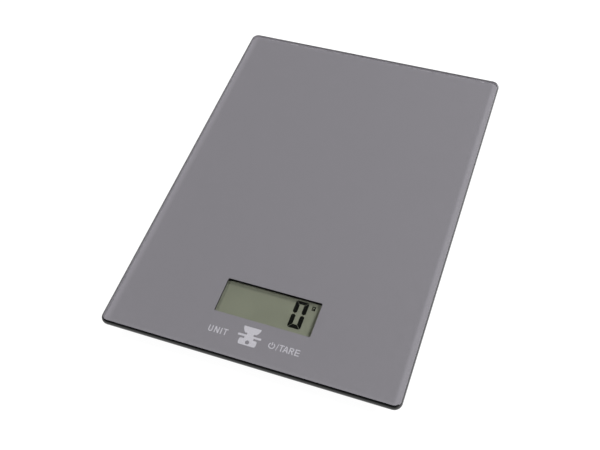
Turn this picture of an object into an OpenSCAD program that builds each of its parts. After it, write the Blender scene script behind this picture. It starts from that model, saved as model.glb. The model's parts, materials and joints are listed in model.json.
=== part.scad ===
// Slim kitchen scale: a back-printed glass platform on a shallow moulded base, carried by four
// load-cell feet, with a liquid crystal display and two touch keys read through the glass.
// Origin: centre of the footprint, on the surface that the feet stand on. The display is at the -Y end.

/* [Platform] */
// Width of the glass platform
glass_w = 145; // [145:1:160]
// Depth of the glass platform, front to back
glass_d = 200; // [200:1:220]
// Thickness of the glass
glass_t = 4; // [3:0.5:4.5]
// Corner radius of the glass, seen from above
glass_r = 3.9; // [3:0.1:8]
// How far the ground edge bulges past the flat faces
edge_bulge = 1.1; // [0.6:0.1:1.4]
// Height of the weighing surface above the table
total_h = 15.5; // [15.5:0.5:18]

/* [Base] */
// How far the base is set back from the glass edge
base_inset = 9; // [8:0.5:9]
// Corner radius of the base, seen from above
base_r = 10; // [8:1:10]
// Thickness of the side wall of the base
wall_t = 1.8; // [1.4:0.1:2]
// Thickness of the floor of the base
floor_t = 1.6; // [1.4:0.1:1.6]
// Gap between the table and the floor of the base
ground_gap = 3; // [2.8:0.1:3]

/* [Display] */
// Width of the clear window in the print
window_w = 47.4; // [40:0.1:47.6]
// Height of the clear window in the print
window_d = 18.2; // [16:0.1:18.4]
// Distance from the platform centre to the window centre, towards the front
window_y = 68.7; // [68:0.1:69]
// Height of the displayed digit
digit_h = 14.6; // [12:0.1:14.6]

/* [Feet] */
// Distance from the centre line to a foot, sideways
foot_x = 45; // [44.8:0.1:45]
// Distance from the centre line to a foot, front or back
foot_y = 72.5; // [71:0.1:72.5]
// Diameter of a foot
foot_d = 24; // [20:0.5:24.5]

/* [Battery] */
// Distance from the platform centre to the coin cell, towards the back
cell_y = 24; // [10:1:26]
// Diameter of the coin cell
cell_d = 20; // [20:0.1:20]
// Thickness of the coin cell
cell_t = 3.2; // [2.5:0.1:3.2]

/* [Hidden] */
$fn = 48;
eps = 0.01;

// Heights of the stack under the glass
glass_z = total_h - glass_t;
film_gap = 0.02;
print_t = 0.1;
print_top_z = glass_z - film_gap;
print_z = print_top_z - print_t;
tape_t = 0.4;
rim_z = print_z - tape_t;
floor_z = ground_gap + floor_t;

// Base: its lower edge is rounded, and its wall thickens near the top, where the tape lies
base_w = glass_w - 2 * base_inset;
base_d = glass_d - 2 * base_inset;
base_edge_r = 2.5;
rim_land = 3.2;
rim_depth = 2.4;
rib_x = 30;
rib_t = 1.2;
rib_half = 42;
rib_top_z = 9;
label_size = [56, 24];
label_y = -30;
label_t = 0.12;
label_recess = 0.25;

// Screws: diameters of the shank, of its clearance hole and of the pan head, then lengths
screw_d = 2.2;
clear_d = 2.8;
head_d = 4.4;
small_screw_d = 1.6;
cover_screw_l = 5;
foot_screw_l = 5;
plate_screw_l = 3.6;
pcb_screw_l = 2;
// How much deeper a threaded hole is than its screw
hole_spare = 0.2;

// Display stack: gasket, polariser, front glass, segments, rear glass, reflector, frame, board
lcd_y = -window_y;
window_x = 0.3;
window_r = 0.7;
gasket_t = 1.2;
gasket_setback = 0.05;
polariser_t = 0.2;
lcd_glass_t = 0.9;
cell_gap = 0.05;
segment_t = 0.03;
reflector_t = 0.2;
lcd_w = 52;
lcd_d = 23;
lcd_ledge = 3;
lcd_top_z = print_z - gasket_t;
front_glass_z = lcd_top_z - polariser_t - film_gap - lcd_glass_t;
rear_glass_z = front_glass_z - cell_gap - lcd_glass_t;
reflector_z = rear_glass_z - reflector_t;
frame_w = 57;
frame_d = 29.8;
frame_front = lcd_y - 13.4;
frame_fit = 0.15;
frame_open = 3;
ledge_slot_w = 48.6;
ledge_slot_d = 2.4;
zebra_gap = 0.2;
pcb_t = 1;
pcb_z = floor_z + 1;
pcb_top = pcb_z + pcb_t;
pcb_w = 59;
pcb_front = -88.2;
pcb_back = -50;
pcb_screw_x = 25.6;
pcb_screw_ys = [frame_front + 1.9, frame_front + frame_d - 2];
chip_side = 14;
chip_h = 1.1;
electrode_unit_x = -17.5;
electrode_tare_x = 15;
electrode_size = [9, 4];

// Legends: cap height, stroke weight as a share of it, and the middle line of the letters
legend_h = 3.2;
legend_weight = 0.14;
legend_y = -87;
electrode_y = legend_y + 1.5;
unit_x = -22.15;
tare_x = 7.3;
symbol_x = -2.4;
symbol_y = -86;

// Digit: its place from the middle of the panel, its waist above its own middle, and the widths of
// its bars
digit_at = [14.57, 1.2];
digit_w = 6.4;
digit_waist = 0.25;
bar_w = 2.1;
top_bar_w = 1.7;
corner_gap = 0.14;
tip_gap = 0.3;
gram_at = [20.4, 6.3];
gram_size = [1.7, 2.25];

// Load cells, drawn about the foot's own axis with +X and +Y pointing away from the middle
plate_t = 1.2;
plate_side = 28;
plate_r = 4;
plate_z = 6.6;
carrier_z = plate_z + plate_t;
tongue_w = 12;
tongue_slot = 2;
tongue_root = -10.5;
tongue_end = 6.5;
carrier_wall = 3;
plate_screw_at = 10.6;
ear_at = [9, -18];
ear_d = 7;
ear_web = 4.5;
head_recess = 0.8;
gauge_y = -7.6;
gauge_t = 0.12;
sealant_t = 0.9;
lead_d = 0.8;
lead_pitch = 1;
lead_notch = 8;

// Feet
foot_gap = 0.5;
foot_rim_r = 1;
foot_floor_z = 1.2;
foot_top_z = floor_z + 0.3;
foot_post_d = 8;
collar_w = 2.2;
collar_drop = 0.6;
pad_d = 20;
pad_recess = 0.9;

// Battery bay and its door
door_w = 25.5;
door_d = 29;
door_t = 1.4;
door_gap = 0.25;
door_front = cell_y - 13.5;
door_back = door_front + door_d;
bay_half_w = 14.4;
bay_wall = 1.2;
bay_front = door_front - 3.6;
bay_back = door_back + 2.2;
bay_ceiling_z = 9.2;
bay_ceiling_t = 0.8;
cell_z = floor_z + 0.4;
cell_top_z = cell_z + cell_t;
cell_can_t = 0.25;
cell_step = 0.5;
cell_cap_d = cell_d - 2.4;
contact_t = 0.3;
contact_w = 4;
contact_xs = [-12.3, 12.1];
contact_top_z = bay_ceiling_z + 1.7;
latch_half = 5;
latch_l = 6;

// The four corners, as [name suffix, x side, y side]
CORNERS = [["front_left", -1, -1], ["front_right", 1, -1], ["back_left", -1, 1], ["back_right", 1, 1]];

// ---------- shared shapes ----------

// A slab with a rounded rectangular outline. The child is the 2D section of its rim: X runs outward
// from the centre of the corner arc, and Y runs up from z0 to z1.
module rimmed_slab(w, d, r, z0, z1) {
    translate([-(w / 2 - r), -(d / 2 - r), z0]) cube([w - 2 * r, d - 2 * r, z1 - z0]);
    for (side = [0:3]) {
        across = side % 2 == 0 ? w : d;
        along = side % 2 == 0 ? d : w;
        rotate([0, 0, 90 * side]) translate([across / 2 - r, along / 2 - r, 0]) {
            rotate([90, 0, 0]) linear_extrude(height = along - 2 * r) children();
            rotate_extrude(angle = 90, $fn = 96) children();
        }
    }
}

// A 2D rounded rectangle, centred
module rounded_rect(w, d, r) {
    square([w - 2 * r, d], center = true);
    square([w, d - 2 * r], center = true);
    for (x = [-1, 1], y = [-1, 1])
        translate([x * (w / 2 - r), y * (d / 2 - r)]) circle(r);
}

// A 2D child made solid between two heights
module slab(z0, z1) {
    translate([0, 0, z0]) linear_extrude(height = z1 - z0) children();
}

// Places the children at one foot's axis, so that their own +X and +Y point away from the middle
module at_corner(corner) {
    translate([corner[1] * foot_x, corner[2] * foot_y, 0])
        mirror([corner[1] < 0 ? 1 : 0, 0, 0])
            mirror([0, corner[2] < 0 ? 1 : 0, 0]) children();
}

// A pan-head screw with a cross recess: the seat of its head is at z = 0, and its shank points down
module pan_screw(d, length, head_d, head_t) {
    recess_span = head_d * 0.56;
    difference() {
        cylinder(d = head_d, h = head_t);
        for (turn = [0, 90]) rotate([0, 0, turn])
            translate([-recess_span / 2, -recess_span / 12, head_t * 0.45])
                cube([recess_span, recess_span / 6, head_t]);
    }
    translate([0, 0, -length]) cylinder(d = d, h = length + eps);
}

// A straight 2D stroke between two points, with square ends that reach w / 2 past them
module stroke(a, b, w) {
    run = b - a;
    translate(a) rotate([0, 0, atan2(run[1], run[0])])
        translate([-w / 2, -w / 2]) square([norm(run) + w, w]);
}

// A 2D arc band of middle radius r, from angle a0 to angle a1
module arc_band(r, w, a0, a1) {
    cut_steps = 8;
    open_angle = 360 - a1 + a0;
    difference() {
        circle(r + w / 2);
        circle(r - w / 2);
        polygon([[0, 0], for (i = [0:cut_steps])
            2 * r * [cos(a1 + open_angle * i / cut_steps), sin(a1 + open_angle * i / cut_steps)]]);
    }
}

// ---------- swept wires ----------

function unit(v) = v / norm(v);
// The point at share t of the smooth curve from p1 to p2
function spline_point(p0, p1, p2, p3, t) =
    0.5 * (2 * p1 + (p2 - p0) * t + (2 * p0 - 5 * p1 + 4 * p2 - p3) * t * t
        + (3 * p1 - p0 - 3 * p2 + p3) * t * t * t);
function smooth_path(p, steps) = [
    for (i = [0:len(p) - 2], k = [0:steps - 1])
        spline_point(p[max(i - 1, 0)], p[i], p[i + 1], p[min(i + 2, len(p) - 1)], k / steps),
    p[len(p) - 1]
];
function tangent(p, i) = unit(p[min(i + 1, len(p) - 1)] - p[max(i - 1, 0)]);
function sideways(t) = unit([t[1], -t[0], 0]);
// A path beside another, the given distance to its right
function beside(p, distance) = [for (i = [0:len(p) - 1]) p[i] + distance * sideways(tangent(p, i))];

// A closed tube of round section along a path that never runs straight up
module wire(path, d, steps = 4) {
    sides = 8;
    p = smooth_path(path, steps);
    rings = len(p);
    points = [
        for (i = [0:rings - 1])
            let (t = tangent(p, i), u = sideways(t), v = cross(t, u))
            for (k = [0:sides - 1])
                p[i] + d / 2 * (cos(360 * k / sides) * u + sin(360 * k / sides) * v)
    ];
    faces = [
        [for (k = [0:sides - 1]) k],
        [for (k = [sides - 1:-1:0]) (rings - 1) * sides + k],
        for (i = [0:rings - 2], k = [0:sides - 1])
            let (a = i * sides + k, b = i * sides + (k + 1) % sides)
            each [[a, a + sides, b + sides], [a, b + sides, b]]
    ];
    polyhedron(points, faces, convexity = 6);
}

// ---------- platform ----------

module glass_platform() {
    // radius of the arc that bulges by edge_bulge over the thickness
    arc_r = (glass_t * glass_t / 4 + edge_bulge * edge_bulge) / (2 * edge_bulge);
    color([0.82, 0.9, 0.88, 0.35])
        translate([0, 0, glass_z])
            rimmed_slab(glass_w, glass_d, glass_r, 0, glass_t) {
                union() {
                    square([glass_r - edge_bulge, glass_t]);
                    intersection() {
                        translate([glass_r - arc_r, glass_t / 2]) circle(arc_r, $fn = 96);
                        square([glass_r, glass_t]);
                    }
                }
            }
}

// The print stops where the ground edge begins
module grey_back_print() {
    color([0.32, 0.315, 0.335])
        slab(print_z, print_top_z)
            difference() {
                rounded_rect(glass_w - 2 * edge_bulge, glass_d - 2 * edge_bulge,
                    glass_r - edge_bulge);
                translate([window_x, lcd_y]) rounded_rect(window_w, window_d, window_r);
                legends();
            }
}

module legend_print() {
    color([0.78, 0.78, 0.8]) slab(print_z, print_top_z) legends();
}

module legends() {
    translate([unit_x, legend_y - legend_h / 2]) scale(legend_h) {
        letter_u(legend_weight);
        translate([0.92, 0]) letter_n(legend_weight);
        translate([1.87, 0]) letter_i(legend_weight);
        translate([2.23, 0]) letter_t(legend_weight);
    }
    translate([tare_x, legend_y - legend_h / 2]) scale(legend_h) {
        standby_symbol(legend_weight);
        stroke([1.24, 0], [1.42, 0.98], legend_weight * 0.7);
        translate([1.61, 0]) letter_t(legend_weight);
        translate([2.22, 0]) letter_a(legend_weight);
        translate([3.13, 0]) letter_r(legend_weight);
        translate([4.0, 0]) letter_e(legend_weight);
    }
    translate([symbol_x, symbol_y]) bowl_symbol();
}

// Capital letters of height 1, drawn with strokes of width w
module letter_u(w) {
    for (x = [w / 2, 0.62 - w / 2]) stroke([x, 0.31], [x, 1 - w / 2], w);
    translate([0.31, 0.31]) arc_band(0.31 - w / 2, w, 180, 360);
}

module letter_n(w) {
    for (x = [w / 2, 0.68 - w / 2]) stroke([x, w / 2], [x, 1 - w / 2], w);
    polygon([[0, 1], [w * 1.25, 1], [0.68, 0], [0.68 - w * 1.25, 0]]);
}

module letter_i(w) {
    stroke([w / 2, w / 2], [w / 2, 1 - w / 2], w);
}

module letter_t(w) {
    stroke([w / 2, 1 - w / 2], [0.68 - w / 2, 1 - w / 2], w);
    stroke([0.34, w / 2], [0.34, 1 - w / 2], w);
}

module letter_a(w) {
    polygon([[0, 0], [w * 1.15, 0], [0.4, 0.84], [0.8 - w * 1.15, 0], [0.8, 0],
        [0.4 + w * 0.6, 1], [0.4 - w * 0.6, 1]]);
    translate([0.17, 0.26]) square([0.46, w]);
}

module letter_r(w) {
    bowl_r = 0.27 - w / 2;
    letter_i(w);
    for (y = [1 - w / 2, 1 - w / 2 - 2 * bowl_r]) stroke([w / 2, y], [0.38, y], w);
    translate([0.38, 1 - w / 2 - bowl_r]) arc_band(bowl_r, w, -90, 90);
    polygon([[0.28, 0.5], [0.28 + w * 1.2, 0.5], [0.68, 0], [0.68 - w * 1.25, 0]]);
}

module letter_e(w) {
    letter_i(w);
    for (y = [w / 2, 0.5, 1 - w / 2]) stroke([w / 2, y], [0.66 - w / 2, y], w);
}

// A standby symbol: an open ring with a bar in its gap
module standby_symbol(w) {
    translate([0.49, 0.49]) {
        arc_band(0.42, w, 125, 415);
        translate([-w / 2, 0.05]) square([w, 0.5]);
    }
}

// A weighing pictogram: a round bowl on a flat plate, over a body with a round dial
module bowl_symbol() {
    bowl_r = 4.2;
    rim_y = 4.9;
    bowl_floor_y = 1.7;
    plate_size = [11.2, 1];
    body_size = [8.6, 3.2];
    intersection() {
        translate([0, rim_y]) circle(bowl_r, $fn = 64);
        translate([-bowl_r, bowl_floor_y]) square([2 * bowl_r, rim_y - bowl_floor_y]);
    }
    // the bowl's foot, the plate, and the post under it
    translate([-1.6, 0]) square([3.2, 1.9]);
    translate([-plate_size[0] / 2, -0.3]) square(plate_size);
    translate([-2.2, -1.5]) square([4.4, 1.3]);
    translate([0, -2.9]) difference() {
        rounded_rect(body_size[0], body_size[1], 0.9);
        circle(1);
    }
}

module housing_tape() {
    margin = 0.3;
    color([0.12, 0.12, 0.12])
        slab(rim_z, print_z)
            difference() {
                rounded_rect(base_w - 2 * margin, base_d - 2 * margin, base_r - margin);
                rounded_rect(base_w - 2 * rim_land + 2 * margin, base_d - 2 * rim_land + 2 * margin,
                    base_r - rim_land + margin);
            }
}

// ---------- base ----------

module base_cover() {
    color([0.13, 0.13, 0.14]) {
        difference() {
            union() {
                base_shell();
                foot_collars();
                bay_walls();
                pcb_rests();
                floor_ribs();
            }
            foot_openings();
            door_opening();
            contact_slots();
            cover_screw_holes();
            label_pocket();
        }
        difference() {
            cell_cradle();
            contact_slots();
        }
    }
}

module base_shell() {
    height = rim_z - ground_gap;
    difference() {
        translate([0, 0, ground_gap])
            rimmed_slab(base_w, base_d, base_r, 0, height) {
                union() {
                    translate([0, base_edge_r]) square([base_r, height - base_edge_r]);
                    square([base_r - base_edge_r, height]);
                    translate([base_r - base_edge_r, base_edge_r]) circle(base_edge_r);
                }
            }
        slab(floor_z, rim_z - rim_depth)
            rounded_rect(base_w - 2 * wall_t, base_d - 2 * wall_t, base_r - wall_t);
        slab(floor_z, rim_z + 1)
            rounded_rect(base_w - 2 * rim_land, base_d - 2 * rim_land, base_r - rim_land);
    }
}

// A low ring round each foot opening stiffens the floor and hides the gap
module foot_collars() {
    for (c = CORNERS)
        at_corner(c) translate([0, 0, ground_gap - collar_drop])
            cylinder(d = foot_d + 2 * (foot_gap + collar_w), h = collar_drop + floor_t / 2);
}

module foot_openings() {
    for (c = CORNERS)
        at_corner(c) translate([0, 0, ground_gap - 1])
            cylinder(d = foot_d + 2 * foot_gap, h = floor_t + 2);
}

module bay_walls() {
    difference() {
        slab(floor_z - eps, bay_ceiling_z + bay_ceiling_t) bay_outline(bay_wall);
        slab(floor_z - 1, bay_ceiling_z) bay_outline(0);
    }
}

module bay_outline(grow) {
    translate([-bay_half_w - grow, bay_front - grow])
        square([2 * (bay_half_w + grow), bay_back - bay_front + 2 * grow]);
}

// A ring hangs from the bay's ceiling and centres the coin cell. It is cut away for the contacts.
module cell_cradle() {
    ring_z = cell_z + 0.6;
    ring_h = bay_ceiling_z - ring_z;
    ring_t = 1.3;
    play = 0.4;
    side_gap = 10;
    back_gap = 8;
    translate([0, cell_y, ring_z]) difference() {
        cylinder(d = cell_d + 2 * (play + ring_t), h = ring_h + eps);
        translate([0, 0, -1]) cylinder(d = cell_d + 2 * play, h = ring_h + 2);
        translate([-cell_d, -side_gap / 2, -1]) cube([2 * cell_d, side_gap, ring_h + 2]);
        translate([-back_gap / 2, 0, -1]) cube([back_gap, cell_d, ring_h + 2]);
    }
}

// The door's hole in the floor, and a round scoop behind it for the fingertip
module door_opening() {
    scoop_r = 8.4;
    scoop_depth = 1;
    scoop_offset = 3.2;
    slab(ground_gap - 1, floor_z + eps)
        translate([-door_w / 2 - door_gap, door_front - door_gap])
            square([door_w + 2 * door_gap, door_d + 2 * door_gap]);
    translate([0, door_back + scoop_offset, ground_gap + scoop_depth - scoop_r])
        sphere(r = scoop_r, $fn = 64);
}

// The contacts' solder tabs come out through the bay's ceiling
module contact_slots() {
    slot_t = 1;
    for (x = contact_xs)
        translate([x - slot_t / 2, cell_y - contact_w / 2 - 0.3, bay_ceiling_z - 1])
            cube([slot_t, contact_w + 0.6, bay_ceiling_t + 2]);
}

module pcb_rests() {
    rest_size = [5, 1.4];
    for (x = [-1, 1], y = [pcb_front + 3, pcb_back - 3])
        slab(floor_z - eps, pcb_z)
            translate([x * (pcb_w / 2 - 9), y]) square(rest_size, center = true);
}

module floor_ribs() {
    for (x = [-1, 1])
        translate([x * rib_x - rib_t / 2, -rib_half, floor_z - eps])
            cube([rib_t, 2 * rib_half, rib_top_z - floor_z]);
}

module cover_screw_holes() {
    for (c = CORNERS)
        at_corner(c) translate([ear_at[0], ear_at[1], ground_gap - 1]) {
            cylinder(d = clear_d, h = floor_t + 2);
            cylinder(d = head_d * 1.15, h = 1 + head_recess);
        }
}

module label_pocket() {
    slab(ground_gap - 1, ground_gap + label_recess)
        translate([0, label_y]) rounded_rect(label_size[0] + 1, label_size[1] + 1, 2);
}

module rating_label() {
    color([0.7, 0.71, 0.72])
        slab(ground_gap + label_recess - label_t, ground_gap + label_recess)
            translate([0, label_y]) rounded_rect(label_size[0], label_size[1], 1.5);
}

// ---------- display ----------

module display_gasket() {
    color([0.05, 0.05, 0.05])
        slab(lcd_top_z, print_z)
            translate([0, lcd_y]) difference() {
                rounded_rect(lcd_w - 0.4, lcd_d - 0.4, 1);
                translate([window_x, 0])
                    rounded_rect(window_w + 2 * gasket_setback, window_d + 2 * gasket_setback,
                        window_r + gasket_setback);
            }
}

module lcd_polariser() {
    color([0.6, 0.62, 0.52, 0.4])
        slab(lcd_top_z - polariser_t, lcd_top_z)
            translate([0, lcd_y]) square([lcd_w - 1, lcd_d - 1], center = true);
}

// The front glass reaches past the rear glass, and the zebra strip presses on that ledge
module lcd_front_glass() {
    color([0.75, 0.78, 0.7, 0.4])
        slab(front_glass_z, front_glass_z + lcd_glass_t)
            translate([-lcd_w / 2, lcd_y - lcd_d / 2]) square([lcd_w, lcd_d + lcd_ledge]);
}

module lcd_edge_seal() {
    color([0.2, 0.2, 0.18])
        slab(front_glass_z - cell_gap, front_glass_z)
            translate([0, lcd_y]) difference() {
                square([lcd_w, lcd_d], center = true);
                square([lcd_w - 2.4, lcd_d - 2.4], center = true);
            }
}

module lcd_rear_glass() {
    color([0.42, 0.44, 0.36])
        slab(rear_glass_z, rear_glass_z + lcd_glass_t)
            translate([0, lcd_y]) square([lcd_w, lcd_d], center = true);
}

module lcd_reflector() {
    color([0.6, 0.62, 0.6])
        slab(reflector_z, rear_glass_z)
            translate([0, lcd_y]) square([lcd_w - 2, lcd_d - 2], center = true);
}

module lcd_segments() {
    middle_z = front_glass_z - cell_gap / 2;
    color([0.06, 0.07, 0.05])
        slab(middle_z - segment_t / 2, middle_z + segment_t / 2) translate([0, lcd_y]) {
            translate(digit_at) digit_zero(digit_w, digit_h, bar_w, top_bar_w, digit_waist);
            translate(gram_at) gram_sign(gram_size[0], gram_size[1]);
        }
}

// The zero of a seven-segment display, drawn to its outer box, with rounded outer corners
module digit_zero(w, h, bar, top_bar, waist) {
    intersection() {
        rounded_rect(w, h, bar * 0.45);
        difference() {
            square([w, h], center = true);
            translate([bar - w / 2, bar - h / 2]) square([w - 2 * bar, h - bar - top_bar]);
            // slanted gaps between the bars, at the corners
            for (x = [-1, 1], y = [-1, 1])
                translate([x * (w - bar) / 2, y * (h - bar) / 2])
                    rotate([0, 0, x * y * 45]) square([3 * bar, corner_gap], center = true);
            // the gap at the waist, between the blunt tips of the upright bars
            for (x = [-1, 1]) translate([x * (w - bar) / 2, waist])
                difference() {
                    square([bar * 1.1, bar], center = true);
                    for (y = [-1, 1]) mirror([0, y < 0 ? 1 : 0, 0]) bar_tip(bar);
                }
        }
    }
}

// The lower end of an upright bar, from just above y = 0
module bar_tip(bar) {
    polygon([[-bar * 0.16, tip_gap], [bar * 0.16, tip_gap], [bar / 2, bar * 0.45], [bar / 2, bar],
        [-bar / 2, bar], [-bar / 2, bar * 0.45]]);
}

// The sign for grams: a small g of straight strokes, drawn to its outer box
module gram_sign(w, h) {
    line = 0.5;
    bowl_h = h * 0.7;
    difference() {
        translate([-w / 2, h / 2 - bowl_h]) square([w, bowl_h]);
        translate([line - w / 2, h / 2 - bowl_h + line]) square([w - 2 * line, bowl_h - 2 * line]);
    }
    translate([w / 2 - line, -h / 2]) square([line, h]);
    translate([-w / 2, -h / 2]) square([w, line]);
}

// The frame holds the panel over the board. It is open behind the viewing area and at the ledge.
module lcd_frame() {
    pocket = [lcd_w + 2 * frame_fit, lcd_d + lcd_ledge + 2 * frame_fit];
    color([0.86, 0.86, 0.84])
        difference() {
            slab(pcb_top, lcd_top_z)
                translate([-frame_w / 2, frame_front]) square([frame_w, frame_d]);
            slab(rear_glass_z, print_z)
                translate([-pocket[0] / 2, lcd_y - lcd_d / 2 - frame_fit]) square(pocket);
            slab(reflector_z, rear_glass_z + eps)
                translate([0, lcd_y]) square([lcd_w - 1.6, lcd_d - 1.6], center = true);
            slab(pcb_top - 1, print_z) translate([0, lcd_y])
                square([lcd_w - 2 * frame_open, lcd_d - 2 * frame_open], center = true);
            slab(pcb_top - 1, print_z)
                translate([-ledge_slot_w / 2, lcd_y + lcd_d / 2 + zebra_gap])
                    square([ledge_slot_w, ledge_slot_d]);
            at_pcb_screws(pcb_z) cylinder(d = small_screw_d, h = pcb_screw_l + hole_spare);
        }
}

module at_pcb_screws(z) {
    for (x = [-pcb_screw_x, pcb_screw_x], y = pcb_screw_ys) translate([x, y, z]) children();
}

module zebra_strip() {
    strip_w = ledge_slot_w - 0.6;
    color([0.35, 0.1, 0.35])
        slab(pcb_top, front_glass_z)
            translate([-strip_w / 2, lcd_y + lcd_d / 2 + 2 * zebra_gap])
                square([strip_w, ledge_slot_d - 2 * zebra_gap]);
}

module main_pcb() {
    color([0.1, 0.36, 0.2])
        difference() {
            slab(pcb_z, pcb_top)
                translate([-pcb_w / 2, pcb_front]) square([pcb_w, pcb_back - pcb_front]);
            at_pcb_screws(pcb_z - 1) cylinder(d = small_screw_d + 0.4, h = pcb_t + 2);
        }
}

module pcb_screws() {
    color([0.72, 0.72, 0.7])
        at_pcb_screws(pcb_z)
            rotate([180, 0, 0]) pan_screw(small_screw_d, pcb_screw_l, 3, 0.8);
}

// The bonded chip sits under a round drop of epoxy, in the frame's opening
module controller_chip() {
    dome_r = (chip_side * chip_side / 4 + chip_h * chip_h) / (2 * chip_h);
    color([0.03, 0.03, 0.03])
        translate([0, lcd_y, pcb_top]) rotate_extrude($fn = 64)
            intersection() {
                translate([0, chip_h - dome_r]) circle(dome_r, $fn = 192);
                square([chip_side, chip_h * 2]);
            }
}

module clock_crystal() {
    can_d = 1.2;
    color([0.75, 0.75, 0.76])
        translate([12, lcd_y - 3, pcb_top + can_d / 2]) rotate([0, 90, 0])
            cylinder(d = can_d, h = 5);
}

module chip_capacitors() {
    capacitor_size = [2, 1.2, 0.8];
    color([0.62, 0.5, 0.36])
        for (x = [-18, -14.5, -11], y = [-4, 0])
            translate([x, lcd_y + y, pcb_top]) cube(capacitor_size);
}

// A conductive foam block carries the touch signal from the board to the back of the glass
module touch_electrode(x) {
    color([0.22, 0.22, 0.23])
        slab(pcb_top, print_z) translate([x, electrode_y])
            rounded_rect(electrode_size[0], electrode_size[1], 0.8);
}

// ---------- load cells ----------

// The steel plate: a frame that bears on the carrier, and a tongue that the foot pushes
module load_cell_plate(corner) {
    slot_w = tongue_w + 2 * tongue_slot;
    color([0.66, 0.67, 0.69])
        at_corner(corner) slab(plate_z, plate_z + plate_t)
            difference() {
                rounded_rect(plate_side, plate_side, plate_r);
                difference() {
                    translate([-slot_w / 2, tongue_root])
                        square([slot_w, tongue_end + tongue_slot - tongue_root]);
                    translate([-tongue_w / 2, tongue_root - 1])
                        square([tongue_w, tongue_end - tongue_root + 1]);
                }
                circle(d = clear_d);
                at_plate_screws() circle(d = clear_d);
            }
}

module at_plate_screws() {
    for (side = [-1, 1]) translate([side * plate_screw_at, -side * plate_screw_at]) children();
}

// The moulded carrier is bonded to the glass. A screw from the base goes into its ear.
module load_cell_carrier(corner) {
    opening = plate_side - 2 * carrier_wall;
    notch_h = 2.2;
    ear_hole_top = ground_gap + head_recess + cover_screw_l + hole_spare;
    color([0.2, 0.2, 0.21])
        at_corner(corner) difference() {
            union() {
                slab(carrier_z, print_z) {
                    difference() {
                        rounded_rect(plate_side, plate_side, plate_r);
                        rounded_rect(opening, opening, plate_r / 2);
                    }
                    at_plate_screws() circle(d = 2 * carrier_wall);
                    translate([ear_at[0] - ear_d / 2, ear_at[1]]) square([ear_d, ear_web]);
                }
                slab(floor_z, print_z) translate(ear_at) circle(d = ear_d);
            }
            // the notch that lets the leads out
            translate([-lead_notch / 2, -plate_side / 2 - 1, carrier_z - 1])
                cube([lead_notch, carrier_wall + 2, 1 + notch_h]);
            translate([ear_at[0], ear_at[1], floor_z - 1])
                cylinder(d = screw_d, h = ear_hole_top - floor_z + 1);
            translate([0, 0, plate_z]) at_plate_screws()
                cylinder(d = screw_d, h = plate_screw_l + hole_spare);
        }
}

module load_cell_screws() {
    color([0.72, 0.72, 0.7])
        for (c = CORNERS)
            at_corner(c) translate([0, 0, plate_z]) at_plate_screws()
                rotate([180, 0, 0]) pan_screw(screw_d, plate_screw_l, 4, 1.1);
}

module cover_screws() {
    color([0.72, 0.72, 0.7])
        for (c = CORNERS)
            at_corner(c) translate([ear_at[0], ear_at[1], ground_gap + head_recess])
                rotate([180, 0, 0]) pan_screw(screw_d, cover_screw_l, head_d, head_recess);
}

module strain_gauges() {
    color([0.75, 0.55, 0.2])
        for (c = CORNERS)
            at_corner(c) slab(carrier_z, carrier_z + gauge_t)
                translate([0, gauge_y]) square([8, 4.6], center = true);
}

module gauge_sealant() {
    color([0.93, 0.93, 0.92])
        for (c = CORNERS)
            at_corner(c) slab(carrier_z + gauge_t, carrier_z + sealant_t)
                translate([0, gauge_y]) rounded_rect(9.6, 5.4, 1.6);
}

// Three insulated wires run side by side from the gauge to the board
module load_cell_leads(corner, colours) {
    start_y = foot_y + gauge_y - 2.9;
    gauge_end = [[corner[1] * foot_x, corner[2] * start_y, carrier_z + 0.7],
        [corner[1] * foot_x, corner[2] * (start_y - 7), carrier_z + 0.5]];
    route = concat(gauge_end, corner[2] < 0 ? front_route(corner[1]) : back_route(corner[1]));
    for (k = [0:2]) color(colours[k]) wire(beside(route, (k - 1) * lead_pitch), lead_d);
}

// Front leads turn straight in to the board
function front_route(x) = [[x * 38, -50, 5.4], [x * 32, -46, 5.3], [x * 26, -44, 5.3],
    [x * 23, -47, 6.3], [x * 23, -49.4, 7.1], [x * 23, -51.8, pcb_top + 0.5]];
// Back leads run forward beside the battery bay
function back_route(x) = [[x * 36, 49, 5.4], [x * 25, 45, 5.3], [x * 21, 36, 5.3],
    [x * 19.5, 0, 5.3], [x * 18, -34, 5.3], [x * 17, -46, 6], [x * 17, -49.4, 7.1],
    [x * 17, -51.8, pcb_top + 0.5]];

// ---------- feet ----------

module foot(corner) {
    color([0.16, 0.16, 0.17])
        at_corner(corner) difference() {
            union() {
                rotate_extrude($fn = 96) foot_section();
                translate([0, 0, foot_top_z - eps])
                    cylinder(d = foot_post_d, h = plate_z - foot_top_z + eps);
            }
            translate([0, 0, carrier_z - foot_screw_l - hole_spare])
                cylinder(d = screw_d, h = plate_z);
        }
}

// Half section of the foot's disc: a rounded lower rim, and a recess for its pad
module foot_section() {
    difference() {
        union() {
            translate([0, foot_floor_z + foot_rim_r])
                square([foot_d / 2, foot_top_z - foot_floor_z - foot_rim_r]);
            translate([0, foot_floor_z]) square([foot_d / 2 - foot_rim_r, foot_rim_r]);
            translate([foot_d / 2 - foot_rim_r, foot_floor_z + foot_rim_r]) circle(foot_rim_r);
        }
        translate([-1, foot_floor_z - 1]) square([pad_d / 2 + 1, 1 + pad_recess]);
    }
}

// The rubber pad has two shallow rings in its sole
module foot_pad(corner) {
    ring_rs = [3.6, 6.6];
    ring_w = 0.9;
    ring_depth = 0.5;
    color([0.09, 0.09, 0.09])
        at_corner(corner) rotate_extrude($fn = 96) difference() {
            square([pad_d / 2, foot_floor_z + pad_recess]);
            for (r = ring_rs) translate([r, -1]) square([ring_w, 1 + ring_depth]);
        }
}

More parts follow.
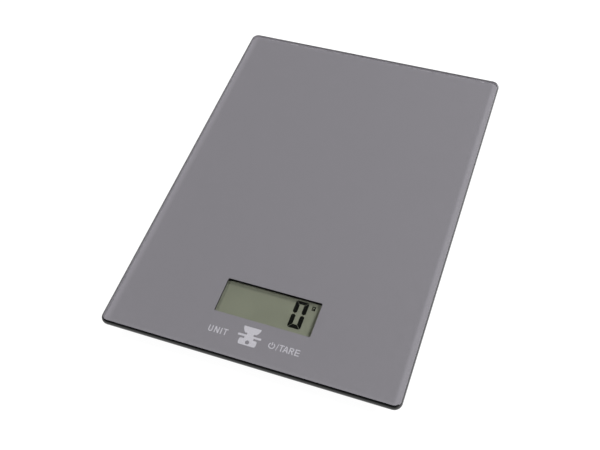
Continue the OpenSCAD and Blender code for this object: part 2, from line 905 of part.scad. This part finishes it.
module foot_screw(corner) {
    color([0.72, 0.72, 0.7])
        at_corner(corner) translate([0, 0, carrier_z])
            pan_screw(screw_d, foot_screw_l, head_d, 1.2);
}

// ---------- battery ----------

module coin_cell_can() {
    color([0.8, 0.8, 0.79])
        translate([0, cell_y, cell_z]) difference() {
            cylinder(d = cell_d, h = cell_t - cell_step, $fn = 96);
            translate([0, 0, cell_can_t])
                cylinder(d = cell_d - 2 * cell_can_t, h = cell_t, $fn = 96);
        }
}

// The seal is the ring between the can and the cap
module coin_cell_seal() {
    color([0.2, 0.2, 0.2])
        translate([0, cell_y, cell_z + cell_can_t]) difference() {
            cylinder(d = cell_d - 2 * cell_can_t, h = cell_t - cell_step - cell_can_t, $fn = 96);
            translate([0, 0, -1]) cylinder(d = cell_cap_d, h = cell_t + 1, $fn = 96);
        }
}

module coin_cell_cap() {
    color([0.74, 0.74, 0.73])
        translate([0, cell_y, cell_z + cell_can_t]) {
            cylinder(d = cell_cap_d, h = cell_t - cell_step - cell_can_t, $fn = 96);
            cylinder(d = cell_cap_d - 0.8, h = cell_t - cell_can_t, $fn = 96);
        }
}

// A bent metal strip, extruded across the bay from its centre line in the X-Z plane
module contact_strip(points) {
    color([0.85, 0.84, 0.8])
        translate([0, cell_y + contact_w / 2, 0]) rotate([90, 0, 0])
            linear_extrude(height = contact_w)
                for (i = [0:len(points) - 2]) stroke(points[i], points[i + 1], contact_t);
}

// It runs under the ceiling and bends down, and its tongue presses on the cell's cap
module negative_contact() {
    under_ceiling = bay_ceiling_z - contact_t / 2 - 0.05;
    contact_strip([[contact_xs[0], contact_top_z], [contact_xs[0], under_ceiling],
        [-7, under_ceiling], [2, cell_top_z + contact_t / 2 + 0.03],
        [5, cell_top_z + contact_t / 2 + 0.3]]);
}

// It stands beside the cell and bears on the side of the can
module positive_contact() {
    at_can = cell_d / 2 + contact_t / 2 + 0.1;
    contact_strip([[contact_xs[1], contact_top_z], [contact_xs[1], bay_ceiling_z - 1],
        [at_can, cell_z + 1.6], [at_can + 0.8, cell_z + 0.6]]);
}

module battery_leads() {
    for (side = [-1, 1]) {
        tab_x = side < 0 ? contact_xs[0] : contact_xs[1];
        color(side < 0 ? [0.08, 0.08, 0.08] : [0.75, 0.1, 0.1])
            wire([[tab_x, cell_y - 2.6, contact_top_z - 0.4], [side * 12.6, 14, contact_top_z - 0.3],
                [side * 15, 4.4, 10], [side * 14.4, 1, 5.4], [side * 12, -14, 5.3],
                [side * 9, -36, 5.3], [side * 7, -46, 6], [side * 7, -49.4, 7.1],
                [side * 7, -51.8, pcb_top + 0.5]], lead_d);
    }
}

// The door hooks in at its front edge and snaps shut at its back edge
module battery_door() {
    tab_z = floor_z + 0.15;
    tab_t = 0.9;
    tab_w = 5;
    tab_reach = 2.6;
    tab_root = 1.6;
    slot_w = 0.8;
    groove_size = [7.2, 0.5];
    groove_depth = 0.35;
    groove_pitch = 1.1;
    dimple_r = 12;
    dimple_depth = 0.4;
    nib_size = [8.4, 1.2];
    nib_rise = 1.1;
    color([0.15, 0.15, 0.16]) {
        difference() {
            union() {
                slab(ground_gap, ground_gap + door_t)
                    translate([-door_w / 2, door_front + door_t / 2])
                        square([door_w, door_d - door_t / 2]);
                // the front edge is round about the line that the door swings on
                translate([-door_w / 2, door_front + door_t / 2, ground_gap + door_t / 2])
                    rotate([0, 90, 0]) cylinder(d = door_t, h = door_w);
            }
            // a slot on each side frees the latch finger
            for (x = [-latch_half, latch_half]) slab(ground_gap - 1, floor_z + 1)
                translate([x - slot_w / 2, door_back - latch_l]) square([slot_w, latch_l + 1]);
            // grip grooves on the finger
            for (k = [0:3]) slab(ground_gap - 1, ground_gap + groove_depth)
                translate([-groove_size[0] / 2, door_back - 5 + groove_pitch * k])
                    square(groove_size);
            // a round dimple for the fingertip
            translate([0, door_back - 10, ground_gap + dimple_depth - dimple_r])
                sphere(r = dimple_r, $fn = 64);
        }
        // hooks that reach over the floor in front of the opening
        for (x = [-9, 4]) {
            slab(ground_gap + door_t / 2, tab_z + tab_t)
                translate([x, door_front]) square([tab_w, tab_root]);
            slab(tab_z, tab_z + tab_t) translate([x, door_front - tab_reach])
                square([tab_w, tab_reach + tab_root]);
        }
        // ribs that hold the cell up against its contact
        for (x = [-5, 4]) slab(ground_gap + door_t - eps, cell_z - 0.1)
            translate([x, cell_y - 6]) square([1, 12]);
        // the latch finger's nib, drawn as when the finger is pressed in
        slab(ground_gap + door_t - eps, floor_z + nib_rise)
            translate([-nib_size[0] / 2, door_back - 1.4]) square(nib_size);
    }
}

// ---------- what is drawn ----------

lead_colours = ["firebrick", "white", "black"];

glass_platform();
grey_back_print();
legend_print();
housing_tape();
base_cover();
rating_label();
display_gasket();
lcd_polariser();
lcd_front_glass();
lcd_edge_seal();
lcd_segments();
lcd_rear_glass();
lcd_reflector();
lcd_frame();
zebra_strip();
main_pcb();
controller_chip();
clock_crystal();
chip_capacitors();
touch_electrode(electrode_unit_x);  // touch_electrode_unit
touch_electrode(electrode_tare_x);  // touch_electrode_tare
pcb_screws();
strain_gauges();
gauge_sealant();
load_cell_screws();
cover_screws();
for (c = CORNERS) {
    load_cell_plate(c);
    load_cell_carrier(c);
    load_cell_leads(c, lead_colours);
    foot(c);
    foot_pad(c);
    foot_screw(c);
}
coin_cell_can();
coin_cell_cap();
coin_cell_seal();
positive_contact();
negative_contact();
battery_leads();
battery_door();
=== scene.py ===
import json
import math

import bpy
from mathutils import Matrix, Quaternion, Vector

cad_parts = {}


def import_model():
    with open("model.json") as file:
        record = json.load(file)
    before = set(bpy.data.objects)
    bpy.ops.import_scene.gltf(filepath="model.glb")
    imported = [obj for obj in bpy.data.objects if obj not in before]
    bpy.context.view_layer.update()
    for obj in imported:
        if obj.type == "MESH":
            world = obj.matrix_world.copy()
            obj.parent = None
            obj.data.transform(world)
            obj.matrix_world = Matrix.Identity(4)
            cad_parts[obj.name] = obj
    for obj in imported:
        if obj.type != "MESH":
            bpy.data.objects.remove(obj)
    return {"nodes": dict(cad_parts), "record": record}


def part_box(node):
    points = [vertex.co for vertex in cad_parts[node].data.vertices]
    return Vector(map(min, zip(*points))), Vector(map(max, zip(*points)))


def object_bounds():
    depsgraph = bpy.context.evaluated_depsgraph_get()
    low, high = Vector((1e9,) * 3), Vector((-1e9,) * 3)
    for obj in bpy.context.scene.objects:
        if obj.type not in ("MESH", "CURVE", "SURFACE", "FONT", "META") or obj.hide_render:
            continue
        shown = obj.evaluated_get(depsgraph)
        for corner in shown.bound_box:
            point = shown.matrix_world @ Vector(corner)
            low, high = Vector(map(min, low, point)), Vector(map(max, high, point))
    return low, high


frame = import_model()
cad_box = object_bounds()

# Looks for the slim glass kitchen scale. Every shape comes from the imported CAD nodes. This script
# gives each material slot of the record a procedural material, and adds the floor, the lights and
# the camera. The materials measure in millimetres from the object's origin, and Blender in metres.

MM = 0.001
TOP = cad_box[1].z
HALF_W = cad_box[1].x / MM
HALF_D = cad_box[1].y / MM
WHITE = (1.0, 1.0, 1.0)


# ---------- small node helpers ----------

class Shader:
    """The node tree of one material, or of the world, with its coordinates in millimetres."""

    def __init__(self, name, world=False):
        self.made = (bpy.data.worlds if world else bpy.data.materials).new(name)
        self.made.use_nodes = True
        self.tree = self.made.node_tree
        self.tree.nodes.clear()
        self.output = self.add("ShaderNodeOutputWorld" if world else "ShaderNodeOutputMaterial")
        self.position = self.vector("SCALE", self.node_out("ShaderNodeTexCoord", "Object"),
                                    scale=1 / MM)

    def add(self, kind, **settings):
        node = self.tree.nodes.new(kind)
        for key, value in settings.items():
            setattr(node, key, value)
        return node

    def node_out(self, kind, output):
        return self.add(kind).outputs[output]

    def link(self, source, target):
        self.tree.links.new(source, target)

    def feed(self, socket, value):
        """Links a socket, or sets its value. A colour is given as red, green and blue."""
        if isinstance(value, bpy.types.NodeSocket):
            self.link(value, socket)
        elif socket.type == "RGBA":
            socket.default_value = (*value, 1.0)
        else:
            socket.default_value = value

    def vector(self, operation, a, b=None, scale=None):
        node = self.add("ShaderNodeVectorMath", operation=operation)
        self.feed(node.inputs[0], a)
        if b is not None:
            self.feed(node.inputs[1], b)
        if scale is not None:
            self.feed(node.inputs["Scale"], scale)
        return node.outputs["Vector"]

    def math(self, operation, a, b=0.0):
        node = self.add("ShaderNodeMath", operation=operation)
        self.feed(node.inputs[0], a)
        self.feed(node.inputs[1], b)
        return node.outputs["Value"]

    def negative(self, value):
        return self.math("MULTIPLY", value, -1.0)

    def axes(self, vector=None):
        node = self.add("ShaderNodeSeparateXYZ")
        self.link(vector or self.position, node.inputs["Vector"])
        return node.outputs

    def stretched(self, factors):
        return self.vector("MULTIPLY", self.position, factors)

    def noise(self, per_mm, detail=3.0, roughness=0.55, vector=None):
        node = self.add("ShaderNodeTexNoise")
        self.link(vector or self.position, node.inputs["Vector"])
        node.inputs["Scale"].default_value = per_mm
        node.inputs["Detail"].default_value = detail
        node.inputs["Roughness"].default_value = roughness
        return node.outputs["Fac"]

    def cells(self, per_mm):
        node = self.add("ShaderNodeTexVoronoi")
        self.link(self.position, node.inputs["Vector"])
        node.inputs["Scale"].default_value = per_mm
        return node.outputs["Distance"]

    def spread(self, pattern, low, high, start=0.0, end=1.0):
        """Goes smoothly from low to high as the pattern rises from start to end."""
        node = self.add("ShaderNodeMapRange", interpolation_type="SMOOTHSTEP")
        self.link(pattern, node.inputs["Value"])
        for socket, value in (("From Min", start), ("From Max", end), ("To Min", low),
                              ("To Max", high)):
            node.inputs[socket].default_value = value
        return node.outputs["Result"]

    def mix(self, share, a, b):
        node = self.add("ShaderNodeMix", data_type="RGBA")
        for socket, value in (("Factor", share), ("A", a), ("B", b)):
            self.feed(node.inputs[socket], value)
        return node.outputs["Result"]

    def blend(self, pattern, a, b, start=0.3, end=0.7, most=1.0):
        """Colour a below start, and above end the share `most` of colour b over it."""
        return self.mix(self.spread(pattern, 0.0, most, start, end), a, b)

    def bump(self, height, depth_mm, strength=1.0, below=None):
        node = self.add("ShaderNodeBump")
        node.inputs["Strength"].default_value = strength
        node.inputs["Distance"].default_value = depth_mm * MM
        self.link(height, node.inputs["Height"])
        if below is not None:
            self.link(below, node.inputs["Normal"])
        return node.outputs["Normal"]

    def principled(self, colour, roughness, normal=None, **sockets):
        """A surface. The names of other sockets have underscores for their spaces."""
        node = self.add("ShaderNodeBsdfPrincipled")
        self.feed(node.inputs["Base Color"], colour)
        self.feed(node.inputs["Roughness"], roughness)
        for name, value in sockets.items():
            self.feed(node.inputs[name.replace("_", " ")], value)
        if normal is not None:
            self.link(normal, node.inputs["Normal"])
        return node.outputs["BSDF"]

    def mix_shader(self, share, a, b):
        node = self.add("ShaderNodeMixShader")
        self.feed(node.inputs[0], share)
        self.link(a, node.inputs[1])
        self.link(b, node.inputs[2])
        return node.outputs["Shader"]

    def finish(self, surface):
        self.link(surface, self.output.inputs["Surface"])
        return self.made


def shade(colour, factor):
    return tuple(c * factor for c in colour)


# ---------- material families ----------

def moulded_plastic(name, colour, roughness, grain_mm=0.35):
    """Spark-eroded moulding texture, with faint flow marks in its colour."""
    grain_depth = 0.012
    s = Shader(name)
    flow = s.noise(per_mm=0.06, detail=4)
    base = s.blend(flow, shade(colour, 0.9), shade(colour, 1.12), 0.35, 0.65)
    grain = s.noise(per_mm=1 / grain_mm, roughness=0.6)
    fine = s.noise(per_mm=3 / grain_mm, detail=2)
    rough = s.spread(grain, roughness - 0.07, roughness + 0.09, 0.3, 0.7)
    normal = s.bump(fine, 0.4 * grain_depth, below=s.bump(grain, grain_depth))
    return s.finish(s.principled(base, rough, normal))


def soft_rubber(name, colour, roughness):
    """Matte rubber with a dusty bloom and tiny pits."""
    pit_mm = 0.5
    s = Shader(name)
    bloom = s.noise(per_mm=0.25, detail=5)
    base = s.blend(bloom, colour, shade(colour, 1.5), 0.4, 0.75)
    rough = s.spread(bloom, roughness - 0.08, roughness + 0.1, 0.3, 0.7)
    normal = s.bump(s.cells(per_mm=1 / pit_mm), depth_mm=0.02, strength=0.5)
    return s.finish(s.principled(base, rough, normal, Specular_IOR_Level=0.3))


def open_foam(name, colour):
    """Open-cell foam: round pores between soft walls, with painted shade that darkens each pore."""
    s = Shader(name)
    pores = s.cells(per_mm=3.2)
    # Painted shade: the colour is darker toward each pore's middle and lighter on the walls between
    base = s.blend(pores, shade(colour, 0.4), shade(colour, 1.2), 0.1, 0.6)
    normal = s.bump(pores, depth_mm=0.12)
    return s.finish(s.principled(base, 0.95, normal, Specular_IOR_Level=0.1))


def rolled_metal(name, colour, roughness, lines=(0.4, 9.0, 9.0)):
    """Rolled or blanked metal: a faint tarnish, and streaks along the axis with the least lines."""
    s = Shader(name)
    streak = s.noise(per_mm=1.2, detail=5, vector=s.stretched(lines))
    stain = s.noise(per_mm=0.5, detail=4)
    base = s.blend(stain, colour, shade(colour, 0.78), 0.4, 0.8)
    rough = s.spread(streak, roughness * 0.7, roughness * 1.4, 0.3, 0.7)
    normal = s.bump(streak, depth_mm=0.004)
    return s.finish(s.principled(base, rough, normal, Metallic=1.0))


def plated_screw(name, colour):
    """Zinc plating: bright, with a dull stain and a fine grain."""
    s = Shader(name)
    stain = s.noise(per_mm=1.6, detail=4)
    base = s.blend(stain, colour, shade(colour, 0.7), 0.35, 0.7)
    rough = s.spread(stain, 0.18, 0.38, 0.3, 0.7)
    normal = s.bump(s.noise(per_mm=6.0, detail=2), depth_mm=0.006)
    return s.finish(s.principled(base, rough, normal, Metallic=1.0))


def clear_glass(s, tint):
    """Glass that bends what is seen through it, and lets the lamps' light straight through."""
    solid = s.principled(tint, 0.0, IOR=1.52, Transmission_Weight=1.0)
    through = s.add("ShaderNodeBsdfTransparent")
    s.feed(through.inputs["Color"], tint)
    is_shadow = s.node_out("ShaderNodeLightPath", "Is Shadow Ray")
    return s.mix_shader(is_shadow, solid, through.outputs["BSDF"])


def clear_layer(name, tint):
    """A clear layer of the display: glass or film."""
    s = Shader(name)
    return s.finish(clear_glass(s, tint))


# ---------- materials of the platform ----------

PRINT_GREY = (0.2665, 0.254, 0.277)


def platform_glass(name, tint):
    """Clear glass with a coat on its ground edge. From outside the coat is nearly black at the front
    and dark grey elsewhere, glossy at the front and right and mostly dull at the left and back; its
    grey at the left, right and back is painted light, lighter where those sides catch the light.
    From within the glass it is matte and in the print's grey, painted lightest at the back and
    darker at the right as painted light."""
    s = Shader(name)
    # Cycles turns this normal round on a face seen from within, and the sign turns it back
    from_within = s.node_out("ShaderNodeNewGeometry", "Backfacing")
    sign = s.math("SUBTRACT", 1.0, s.math("MULTIPLY", from_within, 2.0))
    facing = s.axes(s.vector("SCALE", s.node_out("ShaderNodeTexCoord", "Normal"), scale=sign))
    at_left, at_right, at_back = (
        s.spread(toward, 0.0, 1.0, 0.25, 0.75)
        for toward in (s.negative(facing["X"]), facing["X"], facing["Y"]))

    # The coat covers what faces neither up nor down, and starts a little lower at the right
    down_limit = -0.95
    up_limit = s.spread(at_right, 0.95, 0.68)
    on_edge = s.math("MULTIPLY", s.math("LESS_THAN", facing["Z"], up_limit),
                     s.math("GREATER_THAN", facing["Z"], down_limit))

    grinding = s.noise(per_mm=1.5, vector=s.stretched((0.3, 0.3, 4.0)))
    ground = s.bump(grinding, depth_mm=0.003)
    # Painted light: the coat's own colour is nearly black, and it is painted a lighter grey at the
    # left, right and back, where those sides catch the light
    outside = s.blend(grinding, (0.002, 0.0025, 0.0025), (0.005, 0.006, 0.006))
    for side, factor in ((at_left, 0.12), (at_right, 0.15), (at_back, 0.22)):
        outside = s.mix(side, outside, shade(PRINT_GREY, factor))
    glossy = s.principled(outside, s.spread(grinding, 0.05, 0.12), ground, IOR=1.5)
    dull = s.principled(outside, 0.6, ground, Specular_IOR_Level=0.0)
    worn = s.math("MULTIPLY", s.math("MAXIMUM", at_left, at_back), 0.85)
    outer = s.mix_shader(worn, glossy, dull)

    # Painted light: from within, the coat is the print's grey, painted lightest at the back and
    # darker at the right for how light reaches those sides
    inside_with_painted_light = shade(PRINT_GREY, 0.9)
    for side, factor in ((at_right, 0.75), (at_back, 1.5)):
        inside_with_painted_light = s.mix(side, inside_with_painted_light, shade(PRINT_GREY, factor))
    inner = s.principled(inside_with_painted_light, 0.9, Specular_IOR_Level=0.0)

    # The lamps shine through the coat as they do through the glass
    lit = s.math("SUBTRACT", 1.0, s.node_out("ShaderNodeLightPath", "Is Shadow Ray"))
    coat = s.mix_shader(from_within, outer, inner)
    return s.finish(s.mix_shader(s.math("MULTIPLY", on_edge, lit), clear_glass(s, tint), coat))


def grey_ink(name):
    """Screen ink seen through the glass. Along three edges its colour is painted lighter, painted
    light that stands in for light coming in through the ground edge: most at the right, least at the
    front."""
    s = Shader(name)
    mottle = s.noise(per_mm=0.9, detail=4)
    speck = s.noise(per_mm=7.0, detail=2)
    base = s.blend(mottle, shade(PRINT_GREY, 0.985), shade(PRINT_GREY, 1.015))
    base = s.blend(speck, base, shade(PRINT_GREY, 1.06), 0.55, 0.8, most=0.35)
    x, y, _ = s.axes()
    # Painted light toward each edge: where it starts and where it is full, in from the edge, and its
    # factor
    painted_edge_light = ((s.negative(y), HALF_D, 4.0, 2.8, 1.08),
             (s.negative(x), HALF_W, 4.8, 2.0, 1.2),
             (x, HALF_W, 4.5, 2.5, 1.28))
    for toward, edge, start, full, factor in painted_edge_light:
        base = s.blend(toward, base, shade(PRINT_GREY, factor), edge - start, edge - full)
    return s.finish(s.principled(base, 0.5, Specular_IOR_Level=0.1))


def pale_ink(name):
    """The legends' screen ink, with a fine grain."""
    s = Shader(name)
    base = s.blend(s.noise(per_mm=5.0), (0.55, 0.53, 0.575), (0.64, 0.62, 0.67))
    return s.finish(s.principled(base, 0.5, Specular_IOR_Level=0.1))


# ---------- materials of the display ----------

def lcd_ground(name, olive):
    """The olive ground of a reflective display, with its faint weave."""
    s = Shader(name)
    haze = s.noise(per_mm=0.12, detail=2)
    weave = s.noise(per_mm=4.0, detail=2, vector=s.stretched((1.0, 0.25, 1.0)))
    base = s.blend(haze, shade(olive, 0.96), shade(olive, 1.05))
    base = s.blend(weave, base, shade(olive, 1.06), 0.4, 0.7, most=0.5)
    return s.finish(s.principled(base, 0.55, Specular_IOR_Level=0.2))


def lcd_black(name):
    """The dark segments of the display, with a fine grain."""
    s = Shader(name)
    grain = s.noise(per_mm=6.0, detail=2)
    base = s.blend(grain, (0.002, 0.0024, 0.002), (0.004, 0.0045, 0.0035))
    return s.finish(s.principled(base, 0.6, Specular_IOR_Level=0.1))


def board_laminate(name):
    """Green solder mask over copper tracks: straight ones one way, wandering ones the other."""
    track_pitch_x = 1.27
    track_pitch_y = 1.8
    track_width = 0.32
    wander_mm = 6.0
    s = Shader(name)
    x, y, _ = s.axes()
    wandering = s.math("ADD", y, s.math("MULTIPLY", s.noise(per_mm=0.08), wander_mm))
    from_track = s.math("MINIMUM", s.math("PINGPONG", x, track_pitch_x / 2),
                        s.math("PINGPONG", wandering, track_pitch_y / 2))
    track = s.math("LESS_THAN", from_track, track_width / 2)
    base = s.mix(track, (0.012, 0.12, 0.045), (0.025, 0.21, 0.075))
    return s.finish(s.principled(base, 0.28, s.bump(track, depth_mm=0.03), Coat_Weight=0.4))


def chip_epoxy(name):
    """Black epoxy, glossy, with a slight ripple."""
    s = Shader(name)
    ripple = s.noise(per_mm=0.7, detail=2)
    base = s.blend(ripple, (0.008, 0.008, 0.008), (0.018, 0.017, 0.016), 0.0, 1.0)
    rough = s.spread(ripple, 0.12, 0.3)
    return s.finish(s.principled(base, rough, s.bump(ripple, depth_mm=0.05)))


def zebra_rubber(name):
    """Conductive and insulating layers in turn along the strip."""
    layer = 0.09
    s = Shader(name)
    stripe = s.math("LESS_THAN", s.math("PINGPONG", s.axes()["X"], layer), layer / 2)
    base = s.mix(stripe, (0.28, 0.12, 0.26), (0.02, 0.02, 0.02))
    return s.finish(s.principled(base, 0.6, s.bump(stripe, depth_mm=0.01)))


def capacitor_ceramic(name):
    """Brown ceramic with tinned ends, for capacitors in a row along x."""
    length = 2.0
    pitch = 3.5
    tinned = 0.38
    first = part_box("chip_capacitors")[0].x / MM + length / 2
    s = Shader(name)
    grain = s.noise(per_mm=4.0)
    from_middle = s.math("PINGPONG", s.math("SUBTRACT", s.axes()["X"], first), pitch / 2)
    at_end = s.math("GREATER_THAN", from_middle, length / 2 - tinned)
    ceramic = s.blend(grain, (0.24, 0.16, 0.09), (0.34, 0.24, 0.15), 0.0, 1.0)
    tin = s.mix(grain, (0.62, 0.62, 0.6), (0.75, 0.75, 0.74))
    base = s.mix(at_end, ceramic, tin)
    return s.finish(s.principled(base, 0.45, s.bump(grain, depth_mm=0.02)))


# ---------- other materials ----------

def label_film(name):
    """A blank silver rating plate: brushed film with a darker printed border."""
    border_in = 1.5
    border_width = 0.4
    s = Shader(name)
    low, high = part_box("rating_label")
    centre = (low + high) / 2 / MM
    half = (high - low) / 2 / MM
    x, y, _ = s.axes(s.vector("SUBTRACT", s.position, tuple(centre)))
    from_edge = s.math("MINIMUM", s.math("SUBTRACT", half.x, s.math("ABSOLUTE", x)),
                       s.math("SUBTRACT", half.y, s.math("ABSOLUTE", y)))
    from_border = s.math("ABSOLUTE", s.math("SUBTRACT", from_edge, border_in))
    border = s.math("LESS_THAN", from_border, border_width / 2)
    brushed = s.noise(per_mm=2.0, detail=4, vector=s.stretched((0.15, 6.0, 1.0)))
    base = s.blend(brushed, (0.5, 0.51, 0.52), (0.6, 0.61, 0.62))
    base = s.mix(border, base, (0.05, 0.05, 0.055))
    normal = s.bump(brushed, depth_mm=0.003)
    return s.finish(s.principled(base, 0.35, normal, Metallic=0.6))


def lead_insulation(name):
    """Thin wire insulation. About a third of the wires each are red, black and white."""
    red = (0.35, 0.03, 0.025)
    black = (0.02, 0.02, 0.02)
    white = (0.6, 0.58, 0.54)
    s = Shader(name)
    wire = s.node_out("ShaderNodeNewGeometry", "Random Per Island")
    base = s.mix(s.math("GREATER_THAN", wire, 0.33), red, black)
    base = s.mix(s.math("GREATER_THAN", wire, 0.66), base, white)
    scuff = s.noise(per_mm=1.5)
    rough = s.spread(scuff, 0.4, 0.6)
    return s.finish(s.principled(base, rough, s.bump(scuff, depth_mm=0.01)))


def gauge_foil(name):
    """Amber film over a folded foil grid."""
    foil_line = 0.2
    s = Shader(name)
    grid = s.math("LESS_THAN", s.math("PINGPONG", s.axes()["X"], foil_line), foil_line / 2)
    base = s.mix(grid, (0.42, 0.22, 0.04), (0.5, 0.4, 0.3))
    return s.finish(s.principled(base, 0.25, s.bump(grid, depth_mm=0.01)))


# The record's material slots: the function that makes each one's material, and its settings
SLOTS = {
    "platform_glass": (platform_glass, {"tint": (0.985, 0.99, 0.988)}),
    "grey_ink": (grey_ink, {}),
    "pale_ink": (pale_ink, {}),
    "black_tape": (open_foam, {"colour": (0.02, 0.02, 0.02)}),
    "black_foam": (open_foam, {"colour": (0.065, 0.065, 0.065)}),
    "conductive_foam": (open_foam, {"colour": (0.09, 0.09, 0.1)}),
    "polariser_film": (clear_layer, {"tint": (0.97, 0.98, 0.95)}),
    "panel_glass": (clear_layer, {"tint": (0.985, 0.99, 0.98)}),
    "lcd_black": (lcd_black, {}),
    "lcd_ground": (lcd_ground, {"olive": (0.298, 0.297, 0.257)}),
    "zebra_rubber": (zebra_rubber, {}),
    "board_laminate": (board_laminate, {}),
    "chip_epoxy": (chip_epoxy, {}),
    "capacitor_ceramic": (capacitor_ceramic, {}),
    "gauge_foil": (gauge_foil, {}),
    "label_film": (label_film, {}),
    "lead_insulation": (lead_insulation, {}),
    "base_plastic": (moulded_plastic, {"colour": (0.022, 0.022, 0.024), "roughness": 0.48}),
    "door_plastic": (moulded_plastic, {"colour": (0.025, 0.025, 0.027), "roughness": 0.46,
                                       "grain_mm": 0.3}),
    "panel_seal": (moulded_plastic, {"colour": (0.05, 0.05, 0.045), "roughness": 0.4,
                                     "grain_mm": 0.2}),
    "frame_plastic": (moulded_plastic, {"colour": (0.62, 0.61, 0.58), "roughness": 0.45,
                                        "grain_mm": 0.5}),
    "carrier_plastic": (moulded_plastic, {"colour": (0.04, 0.04, 0.042), "roughness": 0.5}),
    "seal_plastic": (moulded_plastic, {"colour": (0.06, 0.06, 0.06), "roughness": 0.4,
                                       "grain_mm": 0.2}),
    "foot_plastic": (moulded_plastic, {"colour": (0.03, 0.03, 0.032), "roughness": 0.42,
                                       "grain_mm": 0.3}),
    "white_sealant": (soft_rubber, {"colour": (0.55, 0.55, 0.54), "roughness": 0.5}),
    "pad_rubber": (soft_rubber, {"colour": (0.018, 0.018, 0.018), "roughness": 0.75}),
    "screw_steel": (plated_screw, {"colour": (0.62, 0.62, 0.6)}),
    "reflector_foil": (rolled_metal, {"colour": (0.62, 0.63, 0.62), "roughness": 0.35}),
    "plated_metal": (rolled_metal, {"colour": (0.75, 0.75, 0.76), "roughness": 0.15}),
    "load_cell_steel": (rolled_metal, {"colour": (0.52, 0.53, 0.55), "roughness": 0.34}),
    "cell_steel": (rolled_metal, {"colour": (0.68, 0.68, 0.67), "roughness": 0.28,
                                  "lines": (6.0, 0.5, 6.0)}),
    "contact_nickel": (rolled_metal, {"colour": (0.7, 0.68, 0.62), "roughness": 0.22,
                                      "lines": (0.5, 8.0, 8.0)}),
}


def dress_nodes():
    materials = {slot: make(slot, **settings) for slot, (make, settings) in SLOTS.items()}
    slot_of = {part["node"]: part["material_slot"] for part in frame["record"]["subparts"]}
    for name, node in frame["nodes"].items():
        node.data.materials.clear()
        node.data.materials.append(materials[slot_of[name]])


# ---------- stage, in metres ----------

FLOOR_SIZE = 12.0
FLOOR_GLOW = 0.97
SKY_SEEN = 1.1
ROOM_LIGHT = 0.02
BACKDROP_LIGHT = 0.21
# A ray 15 degrees up sees the whole backdrop, and one 30 degrees up sees none: these are their sines
BACKDROP_FADE = (0.25, 0.5)

# The lamps: place, side of the square and power in watts
LAMPS = {
    "top_box": ((0.0, -0.3, 1.7), 0.5, 1.75),
    "back_right_box": ((0.77, 0.92, 1.2), 0.3, 15.3),
    "right_box": ((1.13, 0.1, 1.26), 0.3, 10.6),
    "left_box": ((-0.72, -0.07, 1.54), 0.3, 7.8),
}


def floor():
    """A pale floor. It glows, so that it stays white round the object, and little of its light
    comes from the lamps, so that the object's shadow stays faint."""
    bpy.ops.mesh.primitive_plane_add(size=FLOOR_SIZE, location=(0, 0, 0))
    plane = bpy.context.object
    plane.name = "floor"
    s = Shader("floor_white")
    paper = s.noise(per_mm=0.02, detail=4)
    base = s.mix(paper, shade(WHITE, 0.15), shade(WHITE, 0.16))
    surface = s.principled(base, 0.9, Specular_IOR_Level=0.0, Emission_Color=WHITE,
                           Emission_Strength=FLOOR_GLOW)
    plane.data.materials.append(s.finish(surface))


def soft_light(name, place, size, power):
    """A square soft box that looks at the platform's centre. It isn't mirrored in the glass."""
    data = bpy.data.lights.new(name, "AREA")
    data.shape = "SQUARE"
    data.size = size
    data.energy = power
    lamp = bpy.data.objects.new(name, data)
    bpy.context.scene.collection.objects.link(lamp)
    lamp.visible_glossy = False
    lamp.visible_transmission = False
    lamp.location = place
    lamp.rotation_euler = (Vector((0, 0, TOP)) - Vector(place)).to_track_quat("-Z", "Y").to_euler()


def world():
    """White where the camera sees it, and a dim room for the object. Mirrored rays also see a paler
    backdrop low down."""
    s = Shader("studio", world=True)
    height = s.axes(s.node_out("ShaderNodeTexCoord", "Generated"))["Z"]
    mirrored = s.node_out("ShaderNodeLightPath", "Is Glossy Ray")
    backdrop = s.math("MULTIPLY", mirrored, s.spread(height, BACKDROP_LIGHT, 0.0, *BACKDROP_FADE))
    room = s.add("ShaderNodeBackground")
    s.feed(room.inputs["Strength"], s.math("ADD", backdrop, ROOM_LIGHT))
    seen = s.add("ShaderNodeBackground")
    s.feed(seen.inputs["Strength"], SKY_SEEN)
    for background in (room, seen):
        s.feed(background.inputs["Color"], WHITE)
    by_camera = s.node_out("ShaderNodeLightPath", "Is Camera Ray")
    bpy.context.scene.world = s.finish(
        s.mix_shader(by_camera, room.outputs["Background"], seen.outputs["Background"]))


# The camera's place and aim from the middle of the weighing surface, in millimetres
CAMERA_AT = (102.05, -242.95, 343.3)
CAMERA_AIM = (-0.43, -22.12, 0.0)
CAMERA_ROLL = -6.535
CAMERA_LENS = 51.39
CAMERA_SENSOR = 36.0


def camera():
    data = bpy.data.cameras.new("camera")
    data.sensor_width = CAMERA_SENSOR
    data.lens = CAMERA_LENS
    data.clip_start = 0.01
    data.clip_end = 50.0
    made = bpy.data.objects.new("camera", data)
    bpy.context.scene.collection.objects.link(made)
    surface = Vector((0, 0, TOP))
    eye = Vector(CAMERA_AT) * MM
    look = (Vector(CAMERA_AIM) * MM - eye).to_track_quat("-Z", "Y")
    made.location = eye + surface
    made.rotation_mode = "QUATERNION"
    made.rotation_quaternion = look @ Quaternion((0, 0, 1), math.radians(CAMERA_ROLL))
    bpy.context.scene.camera = made


dress_nodes()
floor()
world()
for lamp_name, (lamp_place, lamp_size, lamp_power) in LAMPS.items():
    soft_light(lamp_name, lamp_place, lamp_size, lamp_power)
camera()
bpy.context.scene.view_settings.view_transform = "Standard"
